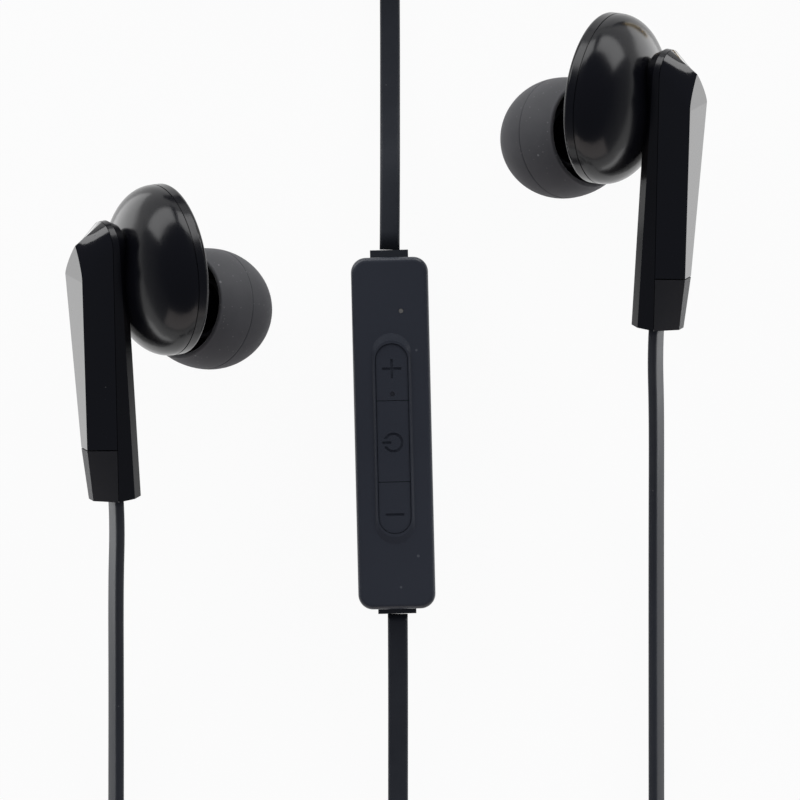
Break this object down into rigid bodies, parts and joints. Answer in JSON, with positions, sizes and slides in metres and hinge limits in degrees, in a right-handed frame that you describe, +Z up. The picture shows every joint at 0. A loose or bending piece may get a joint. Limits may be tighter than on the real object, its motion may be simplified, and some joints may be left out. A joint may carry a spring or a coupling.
{
  "type": "wired earphones",
  "caption": "In-ear earphones with ball-shaped silicone tips, faceted stems, a slim in-line remote with keys, flat cord, splitter and straight audio plug.",
  "frame": {"origin": "on the table under the middle of the box round the two earpieces and the remote", "axes": "+Z up from the table, +Y along the remote towards the end whose cord leads to the plug, +X towards the right earpiece"},
  "size_m": [0.0704, 0.1964, 0.0214],
  "materials": {
    "tip_silicone": "matte",
    "gloss_shell": "gloss",
    "matte_sleeve": "matte",
    "remote_satin": "satin",
    "cord_rubber": "matte",
    "tie_plastic": "matte",
    "steel_mesh": "satin",
    "driver_plastic": "matte",
    "driver_steel": "satin",
    "magnet": "plated",
    "copper_wire": "enamelled",
    "diaphragm_film": "gloss",
    "board_green": "satin",
    "light_window": "clear",
    "contact_gold": "polished",
    "insulator_plastic": "gloss"
  },
  "bodies": {
    "earphones": {"left_coil_tie": "tie_plastic", "left_cord_coil": "cord_rubber", "left_cord_sleeve": "matte_sleeve", "left_diaphragm": "diaphragm_film", "left_driver_frame": "driver_plastic", "left_driver_magnet": "magnet", "left_driver_yoke": "driver_steel", "left_ear_cord": "cord_rubber", "left_front_shell": "gloss_shell", "left_lead_pair": "copper_wire", "left_nozzle_mesh": "steel_mesh", "left_rear_shell": "gloss_shell", "left_split_cord": "cord_rubber", "left_stem_cover": "gloss_shell", "left_voice_coil": "copper_wire", "lower_cord": "cord_rubber", "main_coil_tie": "tie_plastic", "main_cord": "cord_rubber", "main_cord_coil": "cord_rubber", "plug_cord": "cord_rubber", "plug_housing": "matte_sleeve", "plug_insulators": "insulator_plastic", "plug_ring_contact_1": "contact_gold", "plug_ring_contact_2": "contact_gold", "plug_sleeve_contact": "contact_gold", "plug_strain_relief": "matte_sleeve", "plug_tip_contact": "contact_gold", "remote_back_shell": "remote_satin", "remote_board": "board_green", "remote_dome_switches": "driver_steel", "remote_foot_collar": "matte_sleeve", "remote_front_shell": "remote_satin", "remote_light": "light_window", "remote_light_window": "light_window", "remote_microphone": "driver_steel", "remote_top_collar": "matte_sleeve", "right_coil_tie": "tie_plastic", "right_cord_coil": "cord_rubber", "right_cord_sleeve": "matte_sleeve", "right_diaphragm": "diaphragm_film", "right_driver_frame": "driver_plastic", "right_driver_magnet": "magnet", "right_driver_yoke": "driver_steel", "right_ear_cord": "cord_rubber", "right_front_shell": "gloss_shell", "right_lead_pair": "copper_wire", "right_nozzle_mesh": "steel_mesh", "right_rear_shell": "gloss_shell", "right_split_cord": "cord_rubber", "right_stem_cover": "gloss_shell", "right_voice_coil": "copper_wire", "splitter_back_shell": "matte_sleeve", "splitter_front_shell": "matte_sleeve"},
    "left_tip": {"left_ear_tip": "tip_silicone"},
    "right_tip": {"right_ear_tip": "tip_silicone"},
    "volume_up": {"remote_volume_up_key": "remote_satin"},
    "power": {"remote_power_key": "remote_satin"},
    "volume_down": {"remote_volume_down_key": "remote_satin"}
  },
  "joints": [
    {"name": "left_tip_slide", "type": "slide", "parent": "earphones", "child": "left_tip", "axis": [0.6751, -0.0933, -0.7318], "range_m": [0, 0.0055]},
    {"name": "right_tip_slide", "type": "slide", "parent": "earphones", "child": "right_tip", "axis": [-0.6751, -0.0933, -0.7318], "range_m": [0, 0.0055]},
    {"name": "volume_up_press", "type": "slide", "parent": "earphones", "child": "volume_up", "axis": [0, 0, -1], "range_m": [0, 0.00025], "stiffness_N_per_m": 2000},
    {"name": "power_press", "type": "slide", "parent": "earphones", "child": "power", "axis": [0, 0, -1], "range_m": [0, 0.00025], "stiffness_N_per_m": 2000},
    {"name": "volume_down_press", "type": "slide", "parent": "earphones", "child": "volume_down", "axis": [0, 0, -1], "range_m": [0, 0.00025], "stiffness_N_per_m": 2000}
  ]
}
